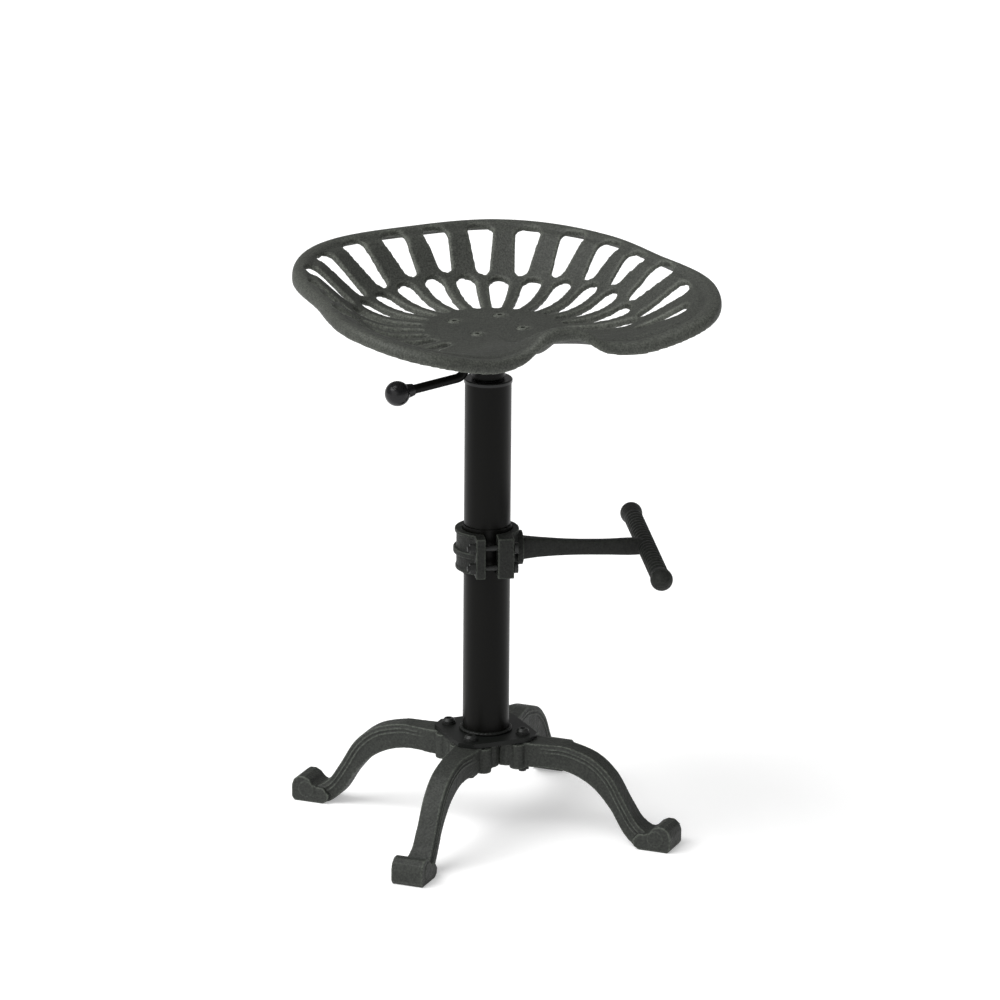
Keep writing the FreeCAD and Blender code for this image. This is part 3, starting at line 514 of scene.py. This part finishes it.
def slotCutter(angle, form, end):
    # hull of three upright cylinders: one at the root and one at each outer corner
    turn = math.radians(angle)
    outward = Vector((-math.sin(turn), math.cos(turn), 0))
    side = Vector((outward.y, -outward.x, 0))
    tool = seatForm["cutter"]
    root = fromBack(angle, form["start"] + form["root"], tool["lift"])
    nose = fromBack(angle, end - form["corner"], tool["lift"])
    spread = (form["nose"] - form["corner"]) * mm
    eyes = [(root, form["root"]), (nose + side * spread, form["corner"]),
            (nose - side * spread, form["corner"])]
    bpy.ops.object.select_all(action="DESELECT")
    for index, (spot, radius) in enumerate(eyes):
        bpy.ops.mesh.primitive_cylinder_add(
            vertices=tool["sides"], radius=radius * mm, depth=tool["tall"] * mm, location=spot)
        if index == 0:
            cutter = bpy.context.object
            bpy.ops.object.transform_apply(location=True)
            bpy.ops.object.mode_set(mode="EDIT")
    bpy.ops.mesh.select_all(action="SELECT")
    bpy.ops.mesh.convex_hull()
    bpy.ops.object.mode_set(mode="OBJECT")
    return cutter


seatDish = gridPiece("seatDish", seatForm["around"], seatRows, seatSpot)
cutters = []
for rowName in ("inner", "outer"):
    form = seatForm[rowName]
    for index in range(form["count"]):
        angle = (index - (form["count"] - 1) / 2) * form["step"]
        end = form["end"]
        if rowName == "outer":
            end = min(crest(angle)[0] - form["margin"], end)
        cutters.append(slotCutter(angle, form, end))
screw = seatForm["screw"]
for across in (-screw["place"], screw["place"]):
    for along in (-screw["place"], screw["place"]):
        spot = Vector((across, along, seatForm["height"])) * mm
        cutters.append(rodPiece(spot, screw["hole"], screw["drillTall"]))
        sunk = spot + Vector((0, 0, screw["sinkTall"] / 2 - screw["sinkDepth"])) * mm
        cutters.append(rodPiece(sunk, screw["sink"], screw["sinkTall"]))
slots = joinPieces(cutters, "slots")
applyModifier(seatDish, "BOOLEAN", {"object": slots, "operation": "DIFFERENCE",
                                    "solver": "EXACT", "use_self": True})
bpy.data.objects.remove(slots)
castSkin(seatDish, seatForm["voxel"], seatForm["soften"])
dress(seatDish, "seatCast", "seat_casting", "seat", "seat_pan")
print("seat made:", len(seatDish.data.polygons), "faces")


# Legs: cast limb with two beads on each side, a rolled toe and lobes at the hub

legForm = {
    "turn": 41.1, "voxel": 0.85, "soften": 3,
    "around": 100, "along": 190,  # columns and rows of the limb's grid
    "cap": 0.01, "edge": 0.12,  # shares for its closed ends, and for half its top and bottom
    "stations": [  # top edge out and up, bottom edge out and up, half width
        (16.2, 101.6, 16.2, 75, 14.4), (54, 101.8, 54, 75, 15), (78, 102, 74, 76, 12.6),
        (98, 101.6, 92, 75, 11), (127, 93, 112, 69.5, 11), (149, 75, 131, 58, 11),
        (165, 49, 149, 38, 11), (177, 30, 164, 14.5, 11.5), (187, 21, 176, 3.5, 13),
        (197, 17, 184, 1.5, 15)],
    # how far down the side the beads run, and how far out they start and fade in
    "beads": {"downs": (5, 9.2), "wide": 1.0, "high": 1.7, "start": 60, "fade": 25},
    "web": {"low": 77, "high": 101.4, "plan": [
        (16.5, -15.8), (27.4, -26.6), (34, -26), (46, -19), (46, 19), (34, 26), (27.4, 26.6),
        (16.5, 15.8)]},
    "foot": [(184, 0), (217.5, 0), (220.6, 4), (220.8, 17), (218.4, 24), (213, 28.2),
             (206, 28.6), (200, 25.5), (196.5, 20.5), (191, 18), (184, 18), (177, 10),
             (178.5, 3.5)],
    "footHalf": 17.8,
    "boss": {"out": 203.5, "up": 14.5, "radius": 9, "half": 18.6, "sides": 48},
    "lobe": {"out": 43, "across": 15, "radius": 8.5, "low": 73.2, "high": 100.5, "sides": 40},
}


def limbSpot(across, along):
    share = (along - legForm["cap"]) / (1 - 2 * legForm["cap"])
    topOut, topUp, lowOut, lowUp, half = curveAt(legForm["stations"], share)
    top = Vector((topOut, 0, topUp))
    low = Vector((lowOut, 0, lowUp))
    if share < 0 or share > 1:
        return (top + low) / 2 * mm
    side = 1 if across <= 0.5 else -1
    around = across * 2 if across <= 0.5 else 2 - across * 2
    depth = (top - low).length
    edge = legForm["edge"]
    if around <= edge:
        return (top + Vector((0, side * half * around / edge, 0))) * mm
    if around >= 1 - edge:
        return (low + Vector((0, side * half * (1 - around) / edge, 0))) * mm
    down = depth * (around - edge) / (1 - 2 * edge)
    beads = legForm["beads"]
    swell = sum(math.exp(-((down - place) / beads["wide"]) ** 2) for place in beads["downs"])
    fade = min(1, max(0, (topOut - beads["start"]) / beads["fade"]))
    reach = half + beads["high"] * swell * fade
    return (top + (low - top) * down / depth + Vector((0, side * reach, 0))) * mm


def makeLeg():
    pieces = [gridPiece("limb", legForm["around"], legForm["along"], limbSpot)]
    half = legForm["footHalf"]
    pieces.append(extruded("foot", legForm["foot"], -half, half))
    boss = legForm["boss"]
    pieces.append(rodPiece(Vector((boss["out"], 0, boss["up"])) * mm, boss["radius"],
                           2 * boss["half"], boss["sides"], (math.pi / 2, 0, 0)))
    web = legForm["web"]
    pieces.append(extruded("web", web["plan"], web["low"], web["high"], standing=True))
    lobe = legForm["lobe"]
    middle = (lobe["low"] + lobe["high"]) / 2
    for side in (-1, 1):
        pieces.append(rodPiece(Vector((lobe["out"], side * lobe["across"], middle)) * mm,
                               lobe["radius"], lobe["high"] - lobe["low"], lobe["sides"]))
    leg = joinPieces(pieces, "legFirst")
    castSkin(leg, legForm["voxel"], legForm["soften"])
    return leg


firstLeg = makeLeg()
for index, nodeName in enumerate(legNames):
    select(firstLeg)
    bpy.ops.object.duplicate()
    leg = bpy.context.object
    leg.name = "cast" + nodeName.replace("_", "").capitalize()
    turnRound(leg, legForm["turn"] + 90 * index)
    dress(leg, "baseCast", "base_casting", "base", nodeName)
bpy.data.objects.remove(firstLeg)
print("legs made:", len(leg.data.polygons), "faces each")


# Weld bead round the foot of the column

weldForm = {"radius": 26.0, "up": 108.6, "bead": 2.5, "flat": 0.8, "ripples": 37,
            "ripple": 0.05, "sags": 7, "sag": 0.09, "columns": 430, "rows": 18}


def weldSpot(across, along):
    turn = 2 * math.pi * across
    around = 2 * math.pi * along
    bead = weldForm["bead"] * (1 + weldForm["ripple"] * math.sin(weldForm["ripples"] * turn)
                               + weldForm["sag"] * math.sin(weldForm["sags"] * turn + 1))
    reach = weldForm["radius"] + bead * math.cos(around)
    return Vector((reach * math.cos(turn), reach * math.sin(turn),
                   weldForm["up"] + bead * weldForm["flat"] * math.sin(around))) * mm


weldBead = gridPiece("weldBead", weldForm["columns"], weldForm["rows"], weldSpot)
select(weldBead)
bpy.ops.object.shade_smooth()
dress(weldBead, "plateBlack", "column_paint", "base", "column_weld")


# Footrest: clamp halves, arm and ribbed bar, in the arm's own direction

footrestForm = {
    "up": 312, "turn": -20, "voxel": 0.8, "soften": 4, "low": -22, "high": 22.5,
    "outer": 33, "bore": 27.0, "gap": 6.5, "earReach": 45.5, "armEar": 17.5, "capEar": 10.5,
    "arcSteps": 12,  # from the middle of a half ring to its end
    "bandInset": 3,  # how much further than the clamp a band's ends stay from the joint
    "armBands": [(20.5, 2, 1.2)],  # height, half width, how far it stands out
    "capBands": [(-1, 3.2, 3.4), (20.5, 2, 1.8), (-20, 2, 1)],
    "collar": {"out": 34.5, "up": -1, "radius": 18.5, "half": 3.4, "sides": 56},
    "arm": [  # out, upper edge, lower edge, half width
        (28, 12.5, -15, 10), (40, 10.8, -13.4, 8.6), (60, 8.6, -11.6, 7), (90, 6.0, -10.8, 6.2),
        (125, 4.8, -11.6, 6.2), (155, 5.2, -12.8, 6.6), (173, 4.4, -12, 6.6)],
    "armGrid": (64, 90),  # columns and rows
    "armCap": 0.02, "armSquare": 0.45,  # share for a closed end, and 1 would be a round section
    "bar": {"out": 172, "drop": 4, "radius": 8.9, "half": 130, "ball": 12.1, "neck": 20,
            "ribs": 22, "pitch": 9.1, "ribHigh": 1.5, "grid": (72, 420)},
    "boltHole": {"across": 39.5, "up": 11, "radius": 3.6, "tall": 90, "sides": 28},
}


def barSpot(across, along):
    form = footrestForm["bar"]
    turn = 2 * math.pi * across
    place = form["half"] * (2 * along - 1)
    inwards = form["half"] - abs(place)
    if inwards < form["ball"]:
        reach = math.sqrt(max(form["ball"] ** 2 - (form["ball"] - inwards) ** 2, 0))
    else:
        ease = max(0, 1 - (inwards - form["ball"]) / form["neck"])
        swell = ease * ease * (3 - 2 * ease)
        reach = form["radius"] + (form["ball"] - form["radius"]) * swell
        if abs(place) < form["ribs"] * form["pitch"] / 2:
            reach += form["ribHigh"] * (0.5 - 0.5 * math.cos(2 * math.pi * place / form["pitch"]))
    return Vector((form["out"] + reach * math.cos(turn), place,
                   footrestForm["up"] - form["drop"] + reach * math.sin(turn))) * mm


def armSpot(across, along):
    # rounded square section, closed at both ends
    share = (along - footrestForm["armCap"]) / (1 - 2 * footrestForm["armCap"])
    out, high, low, half = curveAt(footrestForm["arm"], share)
    middle = footrestForm["up"] + (high + low) / 2
    if share < 0 or share > 1:
        return Vector((out, 0, middle)) * mm
    turn = 2 * math.pi * across
    square = footrestForm["armSquare"]
    side = math.copysign(abs(math.cos(turn)) ** square, math.cos(turn))
    lift = math.copysign(abs(math.sin(turn)) ** square, math.sin(turn))
    return Vector((out, half * side, middle + (high - low) / 2 * lift)) * mm


def arcPoints(radius, half):
    steps = footrestForm["arcSteps"]
    turns = [half * (index / steps - 1) for index in range(2 * steps + 1)]
    return [(radius * math.cos(turn), radius * math.sin(turn)) for turn in turns]


def ringPlan(side, radius, gap, ear=0):
    # half ring seen from above, with two ears if they have a width
    bore = footrestForm["bore"]
    reach = footrestForm["earReach"]
    points = arcPoints(radius, math.acos((gap + ear) / radius))
    if ear:
        points = ([(gap, -reach), (gap + ear, -reach)] + points
                  + [(gap + ear, reach), (gap, reach)])
    points += arcPoints(bore, -math.acos(gap / bore))
    return [(side * first, second) for first, second in points]


def clampPieces(side, ear, bands):
    up = footrestForm["up"]
    outer = footrestForm["outer"]
    gap = footrestForm["gap"]
    pieces = [extruded("half", ringPlan(side, outer, gap, ear), up + footrestForm["low"],
                       up + footrestForm["high"], standing=True)]
    for lift, high, grow in bands:
        plan = ringPlan(side, outer + grow, gap + footrestForm["bandInset"])
        pieces.append(extruded("band", plan, up + lift - high, up + lift + high, standing=True))
    return pieces


def drillClamp(piece):
    hole = footrestForm["boltHole"]
    drills = []
    for across in (-hole["across"], hole["across"]):
        for lift in (-hole["up"], hole["up"]):
            spot = Vector((0, across, footrestForm["up"] + lift)) * mm
            drills.append(rodPiece(spot, hole["radius"], hole["tall"], hole["sides"],
                                   (0, math.pi / 2, 0)))
    drill = joinPieces(drills, "drill")
    applyModifier(piece, "BOOLEAN", {"object": drill, "operation": "DIFFERENCE",
                                     "solver": "EXACT"})
    bpy.data.objects.remove(drill)


def finishClamp(pieces, name, nodeName):
    casting = joinPieces(pieces, name)
    castSkin(casting, footrestForm["voxel"], footrestForm["soften"])
    drillClamp(casting)
    turnRound(casting, footrestForm["turn"])
    dress(casting, "footrestCast", "footrest_casting", "footrest", nodeName)
    return casting


armPieces = clampPieces(1, footrestForm["armEar"], footrestForm["armBands"])
collar = footrestForm["collar"]
armPieces.append(rodPiece(Vector((collar["out"], 0, footrestForm["up"] + collar["up"])) * mm,
                          collar["radius"], 2 * collar["half"], collar["sides"],
                          (0, math.pi / 2, 0)))
armPieces.append(gridPiece("arm", *footrestForm["armGrid"], armSpot))
armPieces.append(gridPiece("bar", *footrestForm["bar"]["grid"], barSpot))
armCasting = finishClamp(armPieces, "armCasting", "clamp_arm")
capPieces = clampPieces(-1, footrestForm["capEar"], footrestForm["capBands"])
capCasting = finishClamp(capPieces, "capCasting", "clamp_cap")
print("footrest made:", len(armCasting.data.polygons), len(capCasting.data.polygons), "faces")
